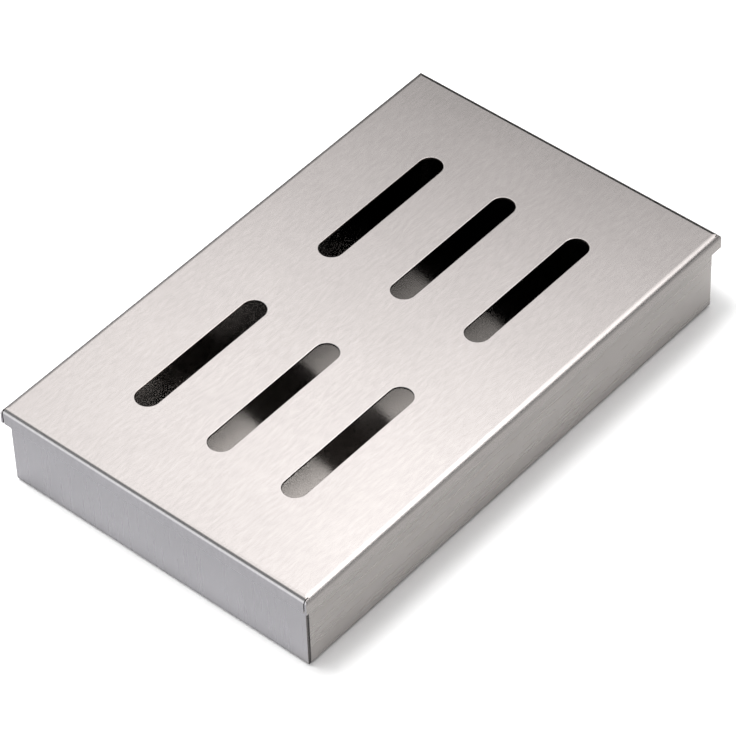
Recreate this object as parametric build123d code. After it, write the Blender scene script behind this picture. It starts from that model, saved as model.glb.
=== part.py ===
from build123d import *
import os

# A smoker box for wood chips, folded from thin stainless sheet, in millimetres.
# X runs along the box, Y across it towards the hinges, and Z up. The origin is on the
# underside of the tray, at the middle of its floor.

# Overall sizes, taken over the closed box
lid_length = 210.6
lid_width = 131.1
box_height = 33.4

# Sheet and its folds, each bend radius on the outside of the fold
sheet = 0.8
lid_bend = 2.2
tray_bend = 1.3
lid_skirt = 6.3

# How the lid sits over the tray
end_clearance = 1.1
side_clearance = 1.1
rim_clearance = 0.1

# Slots in the lid
slot_length = 60.0
slot_width = 8.9
slot_columns = 2
slot_rows = 3
slot_pitch_x = 89.4
slot_pitch_y = 31.6
slot_shift_x = -0.7
slot_stagger_y = 0.8
slot_edge_round = 0.3

# Corners of the lid, where two skirts meet at a slit that opens downwards
lid_slit_top = 0.3
lid_slit_bottom = 0.6

# Corners of the tray, where each long wall ends at a narrow seam behind the end wall's edge
corner_seam = 0.3
end_wall_inset = 0.3

# Hinges
hinge_inset = 45.0
hinge_width = 30.0
leaf_sheet = 0.6
tray_leaf_height = 8.0
lid_leaf_margin = 0.2
leaf_corner_round = 1.0
knuckles = 3
knuckle_side_gap = 0.15
knuckle_wall_gap = 0.15
knuckle_skirt_gap = 0.4
curl_gap = 0.3
pin_clearance = 0.05
pin_head_height = 0.5
pin_head_round = 0.2
pin_head_lip = 0.35

# Rivets
rivet_radius = 1.0
rivet_clearance = 0.03
rivet_pitch = 18.0
rivet_head_radius = 1.7
rivet_head_height = 0.6
rivet_head_round = 0.45
rivet_tail_radius = 1.4
rivet_tail_height = 0.5
rivet_tail_round = 0.15

# Sizes that follow
lid_half_x = lid_length / 2
lid_half_y = lid_width / 2
tray_half_x = lid_half_x - sheet - end_clearance
tray_half_y = lid_half_y - sheet - side_clearance
tray_height = box_height - sheet - rim_clearance
skirt_foot_z = box_height - lid_skirt
tray_inside_x = tray_half_x - sheet
tray_inside_y = tray_half_y - sheet
cut_margin = 1.0

# The knuckle fills the step from the tray's wall out to the face of the lid's leaf.
knuckle_radius = (lid_half_y - tray_half_y + leaf_sheet) / 2
pin_radius = knuckle_radius - leaf_sheet - pin_clearance
hinge_axis_y = tray_half_y + knuckle_wall_gap + knuckle_radius
hinge_axis_z = skirt_foot_z - knuckle_skirt_gap - knuckle_radius
knuckle_step = hinge_width / knuckles
hinge_places = {"left": hinge_inset - lid_half_x, "right": lid_half_x - hinge_inset}

lid_leaf_height = lid_skirt - lid_bend - lid_leaf_margin
lid_rivet_z = skirt_foot_z + lid_leaf_height / 2
tray_leaf_top_z = hinge_axis_z - knuckle_radius - knuckle_skirt_gap
tray_rivet_z = tray_leaf_top_z - tray_leaf_height / 2


def block(x, y, z):
    """Return a box that spans the three given pairs of low and high coordinates."""
    low = Vector(x[0], y[0], z[0])
    high = Vector(x[1], y[1], z[1])
    size = high - low
    middle = (low + high) * 0.5
    return Location(middle) * Box(size.X, size.Y, size.Z)


def folded_pan(half_x, half_y, depth, bend):
    """Return a pan of the sheet, open upwards, with its floor's underside at Z = 0."""
    outer = block((-half_x, half_x), (-half_y, half_y), (0, depth))
    outer = fillet(outer.edges().group_by(Axis.Z)[0], bend)
    inner_x = half_x - sheet
    inner_y = half_y - sheet
    inner = block((-inner_x, inner_x), (-inner_y, inner_y), (sheet, depth + cut_margin))
    inner = fillet(inner.edges().group_by(Axis.Z)[0], bend - sheet)
    return outer - inner


def rod_x(radius, x, y, z):
    """Return a cylinder that lies along X between the two given places."""
    middle = (x[0] + x[1]) / 2
    return Location((middle, y, z)) * Rot(Y=90) * Cylinder(radius, x[1] - x[0])


def rod_y(radius, x, y, z):
    """Return a cylinder that lies along Y between the two given places."""
    middle = (y[0] + y[1]) / 2
    return Location((x, middle, z)) * Rot(X=90) * Cylinder(radius, y[1] - y[0])


def rivet_x_places():
    """Return where the rivets stand along X, two to each hinge."""
    places = []
    for hinge_x in hinge_places.values():
        places += [hinge_x - rivet_pitch / 2, hinge_x + rivet_pitch / 2]
    return places


def rivet_holes(inner_y, outer_y, z):
    """Return the cutters for the rivet holes through the sheets between two faces."""
    radius = rivet_radius + rivet_clearance
    span = (inner_y - cut_margin, outer_y + cut_margin)
    return [rod_y(radius, x, span, z) for x in rivet_x_places()]


def corner_cuts():
    """Return the cutters at +X and +Y for the corner's seam and for the end wall's set-in edge."""
    full_height = (-cut_margin, box_height)
    beyond_y = tray_half_y + cut_margin
    seam_x = (tray_inside_x - corner_seam, tray_inside_x)
    seam = block(seam_x, (tray_inside_y, beyond_y), full_height)
    edge_x = (tray_inside_x, tray_half_x + cut_margin)
    edge = block(edge_x, (tray_half_y - end_wall_inset, beyond_y), full_height)
    return [seam, edge]


def tray():
    """Return the tray: a floor with four walls folded up that meet at open corners."""
    body = folded_pan(tray_half_x, tray_half_y, tray_height, tray_bend)
    for cut in corner_cuts():
        for corner_cut in [cut, mirror(cut, about=Plane.XZ)]:
            body -= [corner_cut, mirror(corner_cut, about=Plane.YZ)]
    return body - rivet_holes(tray_inside_y, tray_half_y, tray_rivet_z)


def corner_slit():
    """Return the cutter for the slit at the lid's corner at +X and +Y, which widens downwards."""
    skirt_face_y = lid_half_y - sheet
    above_z = box_height + cut_margin
    below_z = skirt_foot_z - cut_margin
    outline = Polyline(
        (skirt_face_y, above_z),
        (skirt_face_y - lid_slit_top, above_z),
        (skirt_face_y - lid_slit_bottom, below_z),
        (skirt_face_y, below_z),
        close=True,
    )
    section = Plane.YZ.offset(lid_half_x - lid_bend) * make_face(outline)
    return extrude(section, lid_bend + cut_margin)


def slot_cutter():
    """Return one slot's cutter, a long hole with full round ends."""
    outline = SlotOverall(slot_length, slot_width)
    section = Plane.XY.offset(box_height - sheet - cut_margin) * outline
    return extrude(section, sheet + 2 * cut_margin)


def slot_places():
    """Return the middle of each slot, in columns along X that are staggered along Y."""
    first_x = slot_shift_x - slot_pitch_x * (slot_columns - 1) / 2
    first_y = slot_stagger_y / 2 - slot_pitch_y * (slot_rows - 1) / 2
    places = []
    for column in range(slot_columns):
        x = first_x + column * slot_pitch_x
        column_y = first_y - column * slot_stagger_y
        for row in range(slot_rows):
            places.append((x, column_y + row * slot_pitch_y))
    return places


def lid():
    """Return the lid: a slotted plate with a skirt folded down on all four sides."""
    body = folded_pan(lid_half_x, lid_half_y, lid_skirt, lid_bend)
    body = Pos(Z=box_height) * Rot(X=180) * body
    for x, y in slot_places():
        body -= Pos(x, y) * slot_cutter()
    top_face = body.faces().sort_by(Axis.Z)[-1]
    slot_rims = [edge for wire in top_face.inner_wires() for edge in wire.edges()]
    body = fillet(slot_rims, slot_edge_round)
    slit = corner_slit()
    for cut in [slit, mirror(slit, about=Plane.XZ)]:
        body -= [cut, mirror(cut, about=Plane.YZ)]
    return body - rivet_holes(lid_half_y - sheet, lid_half_y, lid_rivet_z)


def knuckle_spans(hinge_x, first):
    """Return the X spans of every other knuckle of a hinge, from the given one on."""
    spans = []
    for index in range(first, knuckles, 2):
        start = hinge_x - hinge_width / 2 + index * knuckle_step
        low_gap = knuckle_side_gap / 2 if index > 0 else 0
        high_gap = knuckle_side_gap / 2 if index < knuckles - 1 else 0
        spans.append((start + low_gap, start + knuckle_step - high_gap))
    return spans


def leaf_plate(hinge_x, inner_y, z, far_side):
    """Return a leaf's flat plate, with its two corners away from the knuckles rounded."""
    x = (hinge_x - hinge_width / 2, hinge_x + hinge_width / 2)
    plate = block(x, (inner_y, inner_y + leaf_sheet), z)
    far_corners = plate.edges().filter_by(Axis.Y).group_by(Axis.Z)[far_side]
    return fillet(far_corners, leaf_corner_round)


def curl_slit(span, inner_y, upward):
    """Return the cutter for the gap between the end of a knuckle's curl and its own plate."""
    beyond = knuckle_radius + cut_margin
    if upward:
        return block(span, (inner_y - curl_gap, inner_y), (hinge_axis_z, hinge_axis_z + beyond))
    outer_y = inner_y + leaf_sheet
    return block(span, (outer_y, outer_y + curl_gap), (hinge_axis_z - beyond, hinge_axis_z))


def hinge_leaf(hinge_x, inner_y, plate_z, first_knuckle, upward):
    """Return a leaf whose plate runs up or down from the pin and curls round it in knuckles."""
    far_side = -1 if upward else 0
    leaf = leaf_plate(hinge_x, inner_y, plate_z, far_side)
    strip_z = (hinge_axis_z, plate_z[0] + leaf_sheet)
    if not upward:
        strip_z = (plate_z[1] - leaf_sheet, hinge_axis_z)
    for span in knuckle_spans(hinge_x, first_knuckle):
        leaf += block(span, (inner_y, inner_y + leaf_sheet), strip_z)
        leaf += rod_x(knuckle_radius, span, hinge_axis_y, hinge_axis_z)
    bore = (hinge_x - hinge_width, hinge_x + hinge_width)
    leaf -= rod_x(pin_radius + pin_clearance, bore, hinge_axis_y, hinge_axis_z)
    for span in knuckle_spans(hinge_x, first_knuckle):
        leaf -= curl_slit(span, inner_y, upward)
    rivet_z = lid_rivet_z if upward else tray_rivet_z
    return leaf - rivet_holes(inner_y, inner_y + leaf_sheet, rivet_z)


def tray_hinge_leaf(hinge_x):
    """Return the leaf on the tray's back wall, with the outer knuckles."""
    plate_z = (tray_leaf_top_z - tray_leaf_height, tray_leaf_top_z)
    return hinge_leaf(hinge_x, tray_half_y, plate_z, 0, upward=False)


def lid_hinge_leaf(hinge_x):
    """Return the leaf on the lid's back skirt, with the knuckle between the tray's two."""
    plate_z = (skirt_foot_z, skirt_foot_z + lid_leaf_height)
    return hinge_leaf(hinge_x, lid_half_y, plate_z, 1, upward=True)


def hinge_pin(hinge_x):
    """Return a hinge pin with a peened head outside each end of its knuckles."""
    half = hinge_width / 2 + pin_clearance
    pin = rod_x(pin_radius, (hinge_x - half, hinge_x + half), hinge_axis_y, hinge_axis_z)
    for side in (-1, 1):
        ends = sorted((hinge_x + side * half, hinge_x + side * (half + pin_head_height)))
        head = rod_x(pin_radius + pin_head_lip, ends, hinge_axis_y, hinge_axis_z)
        far_edge = head.edges().filter_by(GeomType.CIRCLE).sort_by(Axis.X)[0 if side < 0 else -1]
        pin += fillet(far_edge, pin_head_round)
    return pin


def rivet(x, inner_y, outer_y, z):
    """Return a rivet through the sheets between two faces, its head at +Y and its tail inside."""
    head = rod_y(rivet_head_radius, x, (outer_y, outer_y + rivet_head_height), z)
    head = fillet(head.edges().filter_by(GeomType.CIRCLE).sort_by(Axis.Y)[-1], rivet_head_round)
    tail = rod_y(rivet_tail_radius, x, (inner_y - rivet_tail_height, inner_y), z)
    tail = fillet(tail.edges().filter_by(GeomType.CIRCLE).sort_by(Axis.Y)[0], rivet_tail_round)
    return rod_y(rivet_radius, x, (inner_y, outer_y), z) + head + tail


def rivets(outer_sheet_y, z):
    """Return the rivets through a leaf and the sheet behind it."""
    inner_y = outer_sheet_y - sheet
    outer_y = outer_sheet_y + leaf_sheet
    return Compound([rivet(x, inner_y, outer_y, z) for x in rivet_x_places()])


pieces = {
    "tray": tray(),
    "lid": lid(),
    "tray_rivets": rivets(tray_half_y, tray_rivet_z),
    "lid_rivets": rivets(lid_half_y, lid_rivet_z),
}
for side, hinge_x in hinge_places.items():
    pieces["tray_hinge_leaf_" + side] = tray_hinge_leaf(hinge_x)
    pieces["lid_hinge_leaf_" + side] = lid_hinge_leaf(hinge_x)
    pieces["hinge_pin_" + side] = hinge_pin(hinge_x)

os.makedirs("parts", exist_ok=True)
for name, piece in pieces.items():
    export_step(piece, "parts/" + name + ".step")
print("hinge axis at Y", round(hinge_axis_y, 3), "Z", round(hinge_axis_z, 3))
print("pin radius", round(pin_radius, 3), "knuckle radius", round(knuckle_radius, 3))
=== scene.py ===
import math

import bpy
from mathutils import Matrix, Vector


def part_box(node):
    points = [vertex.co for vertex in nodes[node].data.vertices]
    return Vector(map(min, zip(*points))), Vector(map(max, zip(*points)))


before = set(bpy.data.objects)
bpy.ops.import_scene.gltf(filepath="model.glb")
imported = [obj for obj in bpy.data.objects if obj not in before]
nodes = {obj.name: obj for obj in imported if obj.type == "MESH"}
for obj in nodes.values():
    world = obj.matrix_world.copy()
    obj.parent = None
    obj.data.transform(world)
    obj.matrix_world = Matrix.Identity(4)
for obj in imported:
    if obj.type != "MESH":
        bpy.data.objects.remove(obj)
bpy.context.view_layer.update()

# Looks for a smoker box of brushed stainless sheet. Lengths are in metres, angles in degrees.
# X runs along the box, Y across it towards the hinges, and Z up.

millimetre = 0.001
lid_low, lid_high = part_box("lid")
box_middle = (lid_high + Vector((lid_low.x, lid_low.y, 0))) / 2
box_half = Vector((lid_high.x, -lid_low.y, lid_high.z / 2))
tray_low, tray_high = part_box("tray")
sheet = 0.8 * millimetre

# Camera
view_azimuth = -47.84
view_elevation = 45.545
view_roll = 2.229
view_aim = Vector((0.00767, 0.00725, 0.0))
view_distance = 1.4205
view_lens = 207.4
sensor_width = 36.0
clip_start = 0.01

# Colours of the steel, outside and inside; the tray's lighter inside is painted light and the lid's
# darker underside is painted shade, for the view through the slots
steel_colour = (0.375, 0.370, 0.374)
tray_inside_painted_light_colour = (0.50, 0.49, 0.48)
underside_painted_shade_colour = (0.265, 0.245, 0.235)
small_part_colour = (0.42, 0.41, 0.40)

# Streaks of the brushed grain: length, width and detail of each kind
groove_streaks = (1.0 * millimetre, 0.02 * millimetre, 1.0)
fine_streaks = (5.0 * millimetre, 0.25 * millimetre, 3.0)
mottle_streaks = (4.5 * millimetre, 1.2 * millimetre, 3.0)
broad_streaks = (40.0 * millimetre, 1.5 * millimetre, 2.0)
clouds_per_metre = 40.0
cloud_detail = 2.0
cloud_contrast = 0.02

# The fine streaks' contrast, as a share of the mottle's
fine_share = 0.2

# The part of the noise's range that the contrast and the grooves are spread over
shade_spread = (0.3, 0.7)
groove_spread = (0.25, 0.75)

# How far a normal has to turn to count as outside, as on a wall, and as square to the front
outside_turn = 0.6
wall_turn = 0.5
square_turn = 0.9

# Keeps the direction across the grain defined on the end walls, where it runs along Y
end_wall_way = (0, 0.01, 0)

# Faces that turn inwards, the lid's underside too, carry painted shade: they are darker on walls and
# towards both ends. They are also smoother than outside faces
inside_wall_painted_shade = 0.3
inside_fade_x = (-0.055, 0.045)
inside_fade_levels = (1.10, 0.60)
inside_left_x = (-0.085, -0.055)
inside_left_levels = (0.70, 1.0)
inside_roughness_share = 0.8
# The near sheared edge's darkening: partly a duller cut finish, partly painted shade for the seam
sheared_edge_finish_and_shade = 0.3

# Key lamp, which casts the shadow
key_place = Vector((-0.11, 0.20, 1.0))
key_size = 0.40
key_power = 8.9

# Floor, and the painted light and shade that only the steel's reflections see on it: lighter and darker
# by place, with a painted contact shadow and a painted glow to the left
floor_reach = (-3, 3)
floor_height = -0.1 * millimetre
floor_colour = (0.95, 0.95, 0.95)
floor_glow = 0.03
left_tint = (0.77, 0.765, 0.798)
near_front_tint = (1.10, 1.06, 1.01)
far_front_tint = (0.48, 0.457, 0.435)
front_depth = 0.036
corner_blend = 0.01
# Painted contact shadow: the floor darkens next to the box's foot where the steel sees it
contact_shadow_reach = 1.5 * millimetre
left_contact_shade = 0.6
front_contact_shade = 0.35
past_end_reach = (0.005, 0.02)
past_end_levels = (1.0, 0.25)
left_close_y = (0.045, 0.070)
left_close_levels = (1.22, 0.92)
left_near_reach = (0.002, 0.010)
left_near_level = 0.91
left_far_reach = (0.014, 0.024)
left_far_levels = (1.0, 0.90)
left_back_y = (0.04, 0.10)
left_back_levels = (1.0, 0.86)
left_glow_start = 0.035
left_glow_end = 0.16
left_glow = 1.2

# Surround: a bright left side and a level that grows with height for the steel, and a soft
# light from behind for the floor
left_way = (-0.88, 0.47, 0.0)
left_spread = (0.2, 0.6)
left_rise = (0.22, 0.45)
left_levels = (2.0, 0.35)
low_spread = (0.53, 0.70)
low_levels = (0.10, 0.04)
high_rise = (0.4, 0.9)
high_level = 0.6
behind_way = (-0.35, 0.9, 0.0)
behind_spread = (-0.75, -0.1)
behind_levels = (0.06, 1.15)

# The glowing panel that the lid mirrors: its place, and where it fades and by how much
panel_height = 0.45
panel_x = (-0.34, 0.85)
panel_y = (-0.56, 0.85)
panel_colour = (1.0, 0.945, 0.91)
panel_far_x = (0.24, 0.59)
panel_far_levels = (2.7, 0.12)
panel_near_x = (-0.34, -0.17)
panel_near_levels = (0.3, 1.0)
panel_back_y = (0.05, 0.70)
panel_back_levels = (1.25, 0.30)
panel_front_y = (-0.10, -0.22)
panel_front_levels = (0.0, 1.8)
overhead_x = (0.03, 0.17)
overhead_y = (0.06, 0.12)
overhead_levels = (0.5, 1.0)


def make_camera():
    """Place the camera at the photograph's angle."""
    azimuth = math.radians(view_azimuth)
    elevation = math.radians(view_elevation)
    flat = Vector((-math.sin(azimuth), math.cos(azimuth), 0.0))
    forward = flat * math.cos(elevation) - Vector((0, 0, math.sin(elevation)))
    right = Vector((math.cos(azimuth), math.sin(azimuth), 0.0))
    up = right.cross(forward)
    turn = Matrix((right, up, -forward)).transposed().to_4x4()
    roll = Matrix.Rotation(math.radians(-view_roll), 4, "Z")
    place = Matrix.Translation(view_aim - forward * view_distance)
    data = bpy.data.cameras.new("camera")
    data.lens = view_lens
    data.sensor_width = sensor_width
    data.clip_start = clip_start
    camera = bpy.data.objects.new("camera", data)
    camera.matrix_world = place @ turn @ roll
    bpy.context.scene.collection.objects.link(camera)
    bpy.context.scene.camera = camera


class Nodes:
    """Adds shader nodes to one tree and joins them."""

    def __init__(self, tree):
        self.tree = tree

    def add(self, kind, **settings):
        node = self.tree.nodes.new(kind)
        for key, value in settings.items():
            setattr(node, key, value)
        return node

    def join(self, source, target):
        self.tree.links.new(source, target)

    def feed(self, socket, value):
        """Set a socket from a plain value or from another socket."""
        if isinstance(value, bpy.types.NodeSocket):
            self.join(value, socket)
        else:
            socket.default_value = value

    def fed(self, kind, values, **settings):
        """Add a node, feed its first inputs, and return it."""
        node = self.add(kind, **settings)
        for socket, value in zip(node.inputs, values):
            self.feed(socket, value)
        return node

    def math(self, operation, *values):
        return self.fed("ShaderNodeMath", values, operation=operation).outputs[0]

    def product(self, first, *others):
        """Multiply any number of values."""
        for other in others:
            first = self.math("MULTIPLY", first, other)
        return first

    def vector(self, operation, *values):
        node = self.fed("ShaderNodeVectorMath", values, operation=operation)
        return node.outputs["Value" if operation == "DOT_PRODUCT" else "Vector"]

    def combine(self, x, y, z):
        return self.fed("ShaderNodeCombineXYZ", (x, y, z)).outputs[0]

    def separate(self, vector):
        return self.fed("ShaderNodeSeparateXYZ", (vector,)).outputs

    def scaled(self, vector, factor):
        node = self.add("ShaderNodeVectorMath", operation="SCALE")
        self.feed(node.inputs[0], vector)
        self.feed(node.inputs["Scale"], factor)
        return node.outputs[0]

    def noise(self, vector, detail):
        node = self.add("ShaderNodeTexNoise")
        self.join(vector, node.inputs["Vector"])
        node.inputs["Scale"].default_value = 1.0
        node.inputs["Detail"].default_value = detail
        node.inputs["Roughness"].default_value = 0.5
        return node.outputs["Fac"]

    def ramp(self, value, limits, levels, smooth=False):
        """Carry a value from between two limits to between two levels, and hold it beyond them."""
        node = self.add("ShaderNodeMapRange")
        if smooth:
            node.interpolation_type = "SMOOTHSTEP"
        for socket, number in zip(node.inputs, (value, *limits, *levels)):
            self.feed(socket, number)
        return node.outputs["Result"]

    def choose(self, mask, level_on, level_off):
        """Return one level where the mask is 1 and the other where it is 0."""
        return self.ramp(mask, (0.0, 1.0), (level_off, level_on))

    def mix_colour(self, factor, first, second):
        node = self.add("ShaderNodeMix", data_type="RGBA")
        self.feed(node.inputs["Factor"], factor)
        for name, colour in (("A", first), ("B", second)):
            socket = [s for s in node.inputs if s.name == name and s.type == "RGBA"][0]
            self.feed(socket, colour)
        return [s for s in node.outputs if s.type == "RGBA"][0]


def new_material(name):
    """Return an empty node material with its output."""
    material = bpy.data.materials.new(name)
    material.use_nodes = True
    material.node_tree.nodes.clear()
    n = Nodes(material.node_tree)
    return material, n, n.add("ShaderNodeOutputMaterial")


def opaque(colour):
    """Return a colour's three values with full opacity added."""
    return (*colour, 1.0)


def sheet_colour(n, place, normal, outside, inside):
    """Return the sheet's colour before its grain, with painted light and shade on inside faces and the
    near sheared edge, and a mask of its outside faces.
    """
    x, y, z = n.separate(place)
    normal_x, normal_y, normal_z = n.separate(normal)

    # Each face is outside or inside by whether it turns away from the middle of the box.
    from_middle = n.vector("SUBTRACT", place, tuple(box_middle))
    from_middle = n.vector("DIVIDE", from_middle, tuple(box_half))
    is_outside = n.math("GREATER_THAN", n.vector("DOT_PRODUCT", from_middle, normal), outside_turn)
    # Painted shade on inside faces: darker on the walls, towards +X and at the left end
    on_wall = n.math("LESS_THAN", n.math("ABSOLUTE", normal_z), wall_turn)
    wall_level = n.choose(on_wall, inside_wall_painted_shade, 1.0)
    fade_level = n.ramp(x, inside_fade_x, inside_fade_levels)
    left_end_level = n.ramp(x, inside_left_x, inside_left_levels)
    inner = n.scaled(inside, n.product(wall_level, fade_level, left_end_level))
    colour = n.mix_colour(is_outside, inner, opaque(outside))

    # The near end wall's sheared edge, seen at the corner, is darkened: partly a duller cut finish than
    # the brushed faces, partly painted shade for the seam's crevice.
    at_end = n.math("LESS_THAN", x, tray_low.x + sheet)
    faces_front = n.math("LESS_THAN", normal_y, -square_turn)
    is_below_lid = n.math("LESS_THAN", z, lid_low.z)
    is_sheared = n.product(at_end, faces_front, is_below_lid)
    return n.scaled(colour, n.choose(is_sheared, sheared_edge_finish_and_shade, 1.0)), is_outside


def brushed_steel(name, outside, inside, roughness, anisotropy, groove_tilt, mottle_contrast):
    """Steel sheet brushed along X; at the ends of the box the same grain runs up the walls."""
    material, n, output = new_material(name)
    coordinates = n.add("ShaderNodeTexCoord")
    place = coordinates.outputs["Object"]
    normal = coordinates.outputs["Normal"]
    x, y, z = n.separate(place)
    on_end = n.math("GREATER_THAN", n.math("ABSOLUTE", n.separate(normal)[0]), wall_turn)
    along = n.math("ADD", x, n.product(z, on_end))
    across = n.math("ADD", y, n.product(z, n.math("SUBTRACT", 1.0, on_end)))

    def streaks(length, width, detail):
        stretched = n.combine(n.math("DIVIDE", along, length), n.math("DIVIDE", across, width), 0.0)
        return n.noise(stretched, detail)

    def varied(pattern, contrast):
        return n.ramp(pattern, shade_spread, (1.0 - contrast, 1.0 + contrast))

    mottle = varied(streaks(*mottle_streaks), mottle_contrast)
    cloud = varied(n.noise(n.scaled(place, clouds_per_metre), cloud_detail), cloud_contrast)
    fine = varied(streaks(*fine_streaks), fine_share * mottle_contrast)
    plain_colour, is_outside = sheet_colour(n, place, normal, outside, inside)
    colour = n.scaled(plain_colour, n.product(mottle, cloud, fine))

    # Grooves tilt the surface across the grain only.
    across_way = n.vector("CROSS_PRODUCT", normal, (1, 0, 0))
    across_way = n.vector("NORMALIZE", n.vector("ADD", across_way, end_wall_way))
    to_world = n.fed("ShaderNodeVectorTransform", (across_way,), vector_type="VECTOR",
                     convert_from="OBJECT", convert_to="WORLD").outputs[0]
    tilt = n.ramp(streaks(*groove_streaks), groove_spread, (-groove_tilt, groove_tilt))
    geometry = n.add("ShaderNodeNewGeometry")
    tilted = n.vector("ADD", geometry.outputs["Normal"], n.scaled(to_world, tilt))

    shader = n.add("ShaderNodeBsdfPrincipled")
    shader.inputs["Metallic"].default_value = 1.0
    shader.inputs["Anisotropic"].default_value = anisotropy
    n.join(colour, shader.inputs["Base Color"])
    broad = varied(streaks(*broad_streaks), mottle_contrast)
    side_share = n.choose(is_outside, 1.0, inside_roughness_share)
    n.join(n.product(broad, roughness, side_share), shader.inputs["Roughness"])
    n.join(n.vector("NORMALIZE", tilted), shader.inputs["Normal"])
    n.join(to_world, shader.inputs["Tangent"])
    n.join(shader.outputs[0], output.inputs["Surface"])
    return material


def dress_all():
    """Give every node its finish."""
    tray_sheet = brushed_steel("tray_sheet", steel_colour, tray_inside_painted_light_colour, roughness=0.275,
                               anisotropy=1.0, groove_tilt=0.02, mottle_contrast=0.010)
    lid_sheet = brushed_steel("lid_sheet", steel_colour, underside_painted_shade_colour, roughness=0.245,
                              anisotropy=1.0, groove_tilt=0.08, mottle_contrast=0.042)
    small_steel = brushed_steel("small_steel", small_part_colour, small_part_colour, roughness=0.28,
                                anisotropy=0.3, groove_tilt=0.1, mottle_contrast=0.02)
    finishes = {"tray": tray_sheet, "lid": lid_sheet}
    for name, node in nodes.items():
        node.data.materials.clear()
        node.data.materials.append(finishes.get(name, small_steel))


def plane(name, x, y, z):
    """Return a flat rectangle that spans the given X and Y at one height."""
    mesh = bpy.data.meshes.new(name)
    corners = [(x[0], y[0], z), (x[1], y[0], z), (x[1], y[1], z), (x[0], y[1], z)]
    mesh.from_pydata(corners, [], [(0, 1, 2, 3)])
    obj = bpy.data.objects.new(name, mesh)
    bpy.context.scene.collection.objects.link(obj)
    return obj


def painted_left_floor_light_and_shade(n, y, beyond_x):
    """The floor's painted light and shade beyond the left end of the box, as the steel sees it, by the
    distance from it and along it.
    """
    close_level = n.ramp(y, left_close_y, left_close_levels)
    near_level = n.ramp(beyond_x, left_near_reach, (close_level, left_near_level))
    far_level = n.ramp(beyond_x, left_far_reach, left_far_levels)
    back_level = n.ramp(y, left_back_y, left_back_levels)
    return n.scaled(left_tint, n.product(near_level, far_level, back_level))


def painted_floor_light_and_shade(n, x, y):
    """The floor as the steel sees it, with painted light and shade: brighter to the left, darker in
    front, and a painted contact shadow.
    """
    front_limits = (-box_half.y, -box_half.y - front_depth)
    far_front = n.ramp(y, front_limits, (0.0, 1.0), smooth=True)
    front_tint = n.mix_colour(far_front, opaque(near_front_tint), opaque(far_front_tint))
    past_diagonal = n.math("SUBTRACT", n.math("SUBTRACT", x, y), box_half.y - box_half.x)
    in_front = n.ramp(past_diagonal, (-corner_blend, corner_blend), (0.0, 1.0))
    beyond_x = n.math("SUBTRACT", n.math("ABSOLUTE", x), tray_high.x)
    beyond_y = n.math("SUBTRACT", n.math("ABSOLUTE", y), -tray_low.y)
    # Painted contact shadow next to the box's foot
    contact_level = n.choose(in_front, front_contact_shade, left_contact_shade)
    contact = n.ramp(n.math("MAXIMUM", beyond_x, beyond_y), (0.0, contact_shadow_reach), (contact_level, 1.0))
    past_end = n.math("MINIMUM", n.math("SUBTRACT", x, box_half.x), n.math("ADD", y, box_half.y))
    end_level = n.ramp(past_end, past_end_reach, past_end_levels)
    tint = n.mix_colour(in_front, painted_left_floor_light_and_shade(n, y, beyond_x), front_tint)
    return n.scaled(tint, n.product(contact, end_level))


def make_floor():
    """A pale floor that keeps the box's shadow, and shows the steel painted light and shade and a painted
    glow.
    """
    floor = plane("floor", floor_reach, floor_reach, floor_height)
    material, n, output = new_material("floor")
    x, y, z = n.separate(n.add("ShaderNodeTexCoord").outputs["Object"])
    is_glossy = n.add("ShaderNodeLightPath").outputs["Is Glossy Ray"]
    diffuse = n.add("ShaderNodeBsdfDiffuse")
    n.join(n.mix_colour(is_glossy, opaque(floor_colour), painted_floor_light_and_shade(n, x, y)), diffuse.inputs["Color"])
    # A painted glow on the floor beyond the left end, seen only in the steel's reflections
    glow_limits = (-box_half.x - left_glow_start, -box_half.x - left_glow_end)
    left = n.ramp(x, glow_limits, (0.0, left_glow))
    glow = n.add("ShaderNodeEmission")
    n.join(n.math("ADD", n.product(is_glossy, left), floor_glow), glow.inputs["Strength"])
    both = n.fed("ShaderNodeAddShader", (diffuse.outputs[0], glow.outputs[0]))
    n.join(both.outputs[0], output.inputs["Surface"])
    floor.data.materials.append(material)


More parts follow.
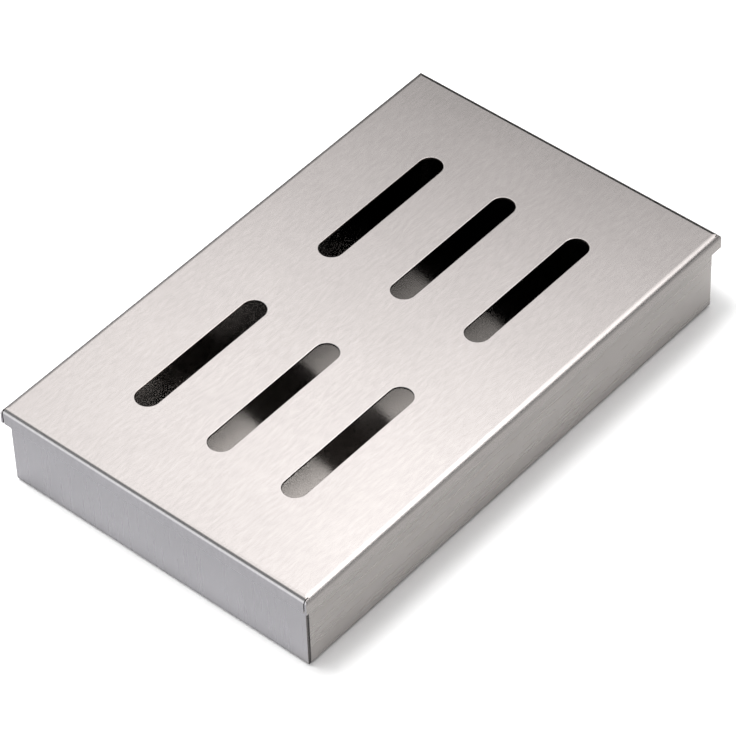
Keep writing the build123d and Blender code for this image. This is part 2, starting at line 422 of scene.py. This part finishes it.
def make_world():
    """A soft surround: white to the camera, grey to the floor, light and dark to the steel."""
    world = bpy.data.worlds.new("world")
    bpy.context.scene.world = world
    world.use_nodes = True
    world.node_tree.nodes.clear()
    n = Nodes(world.node_tree)
    output = n.add("ShaderNodeOutputWorld")
    way = n.add("ShaderNodeTexCoord").outputs["Generated"]
    way_x, way_y, rise = n.separate(way)
    left_side = n.ramp(n.vector("DOT_PRODUCT", way, left_way), left_spread, (0.0, 1.0), smooth=True)
    left_level = n.ramp(rise, left_rise, left_levels, smooth=True)
    low_level = n.ramp(way_x, low_spread, low_levels)
    base = n.ramp(rise, high_rise, (low_level, high_level), smooth=True)
    seen_by_steel = n.math("MAXIMUM", base, n.product(left_side, left_level))
    behind = n.vector("DOT_PRODUCT", way, behind_way)
    seen_by_floor = n.ramp(behind, behind_spread, behind_levels)
    light_path = n.add("ShaderNodeLightPath")
    is_glossy = light_path.outputs["Is Glossy Ray"]
    is_not_glossy = n.math("SUBTRACT", 1.0, is_glossy)
    for_steel = n.product(is_glossy, seen_by_steel)
    for_floor = n.product(is_not_glossy, seen_by_floor)
    strength = n.math("MAXIMUM", n.math("ADD", for_steel, for_floor), light_path.outputs["Is Camera Ray"])
    background = n.add("ShaderNodeBackground")
    n.join(strength, background.inputs["Strength"])
    background.inputs["Color"].default_value = (1, 1, 1, 1)
    n.join(background.outputs[0], output.inputs["Surface"])


def make_key():
    """The lamp that casts the short soft shadow."""
    data = bpy.data.lights.new("key", "AREA")
    data.shape = "SQUARE"
    data.size = key_size
    data.energy = key_power
    lamp = bpy.data.objects.new("key", data)
    bpy.context.scene.collection.objects.link(lamp)
    turn = (-key_place).to_track_quat("-Z", "Y").to_matrix().to_4x4()
    lamp.matrix_world = Matrix.Translation(key_place) @ turn
    lamp.visible_glossy = False


def make_panel():
    """The glowing panel that the lid mirrors; it fades to the far end and straight overhead."""
    panel = plane("panel", panel_x, panel_y, panel_height)
    material, n, output = new_material("panel")
    x, y, z = n.separate(n.add("ShaderNodeTexCoord").outputs["Object"])
    far = n.ramp(x, panel_far_x, panel_far_levels)
    near = n.ramp(x, panel_near_x, panel_near_levels, smooth=True)
    back = n.ramp(y, panel_back_y, panel_back_levels)
    front = n.ramp(y, panel_front_y, panel_front_levels, smooth=True)
    overhead_fades = (n.ramp(x, overhead_x, overhead_levels), n.ramp(y, overhead_y, overhead_levels))
    overhead = n.math("MAXIMUM", *overhead_fades)
    glow = n.add("ShaderNodeEmission")
    glow.inputs["Color"].default_value = opaque(panel_colour)
    n.join(n.math("ADD", n.product(far, near, back, overhead), front), glow.inputs["Strength"])
    n.join(glow.outputs[0], output.inputs["Surface"])
    panel.data.materials.append(material)
    panel.visible_camera = False
    panel.visible_diffuse = False
    panel.visible_shadow = False


make_camera()
dress_all()
make_floor()
make_world()
make_key()
make_panel()
bpy.context.scene.view_settings.view_transform = "Standard"
